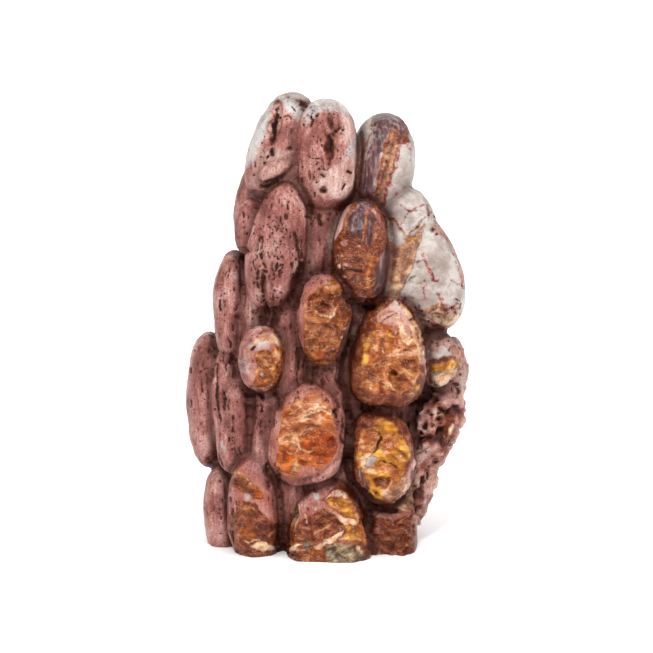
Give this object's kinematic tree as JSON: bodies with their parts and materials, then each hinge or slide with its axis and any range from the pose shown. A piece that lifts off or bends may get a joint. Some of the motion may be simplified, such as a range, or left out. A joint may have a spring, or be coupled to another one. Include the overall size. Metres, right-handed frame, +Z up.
{
  "type": "onyx specimen",
  "caption": "Tumbled and polished display stone of grown-together onyx lobes and columns, pink, white, orange and gold, sawn flat underneath so that it stands upright",
  "frame": {"origin": "on the sawn flat underside, below the middle of the stone's box", "axes": "+Z up along the columns, -Y out of the lobed front face, +X to the right seen from the front"},
  "size_m": [0.1421, 0.1042, 0.2268],
  "materials": {
    "polished_stone": "satin"
  },
  "bodies": {
    "root": {"onyx": "polished_stone"}
  },
  "joints": []
}
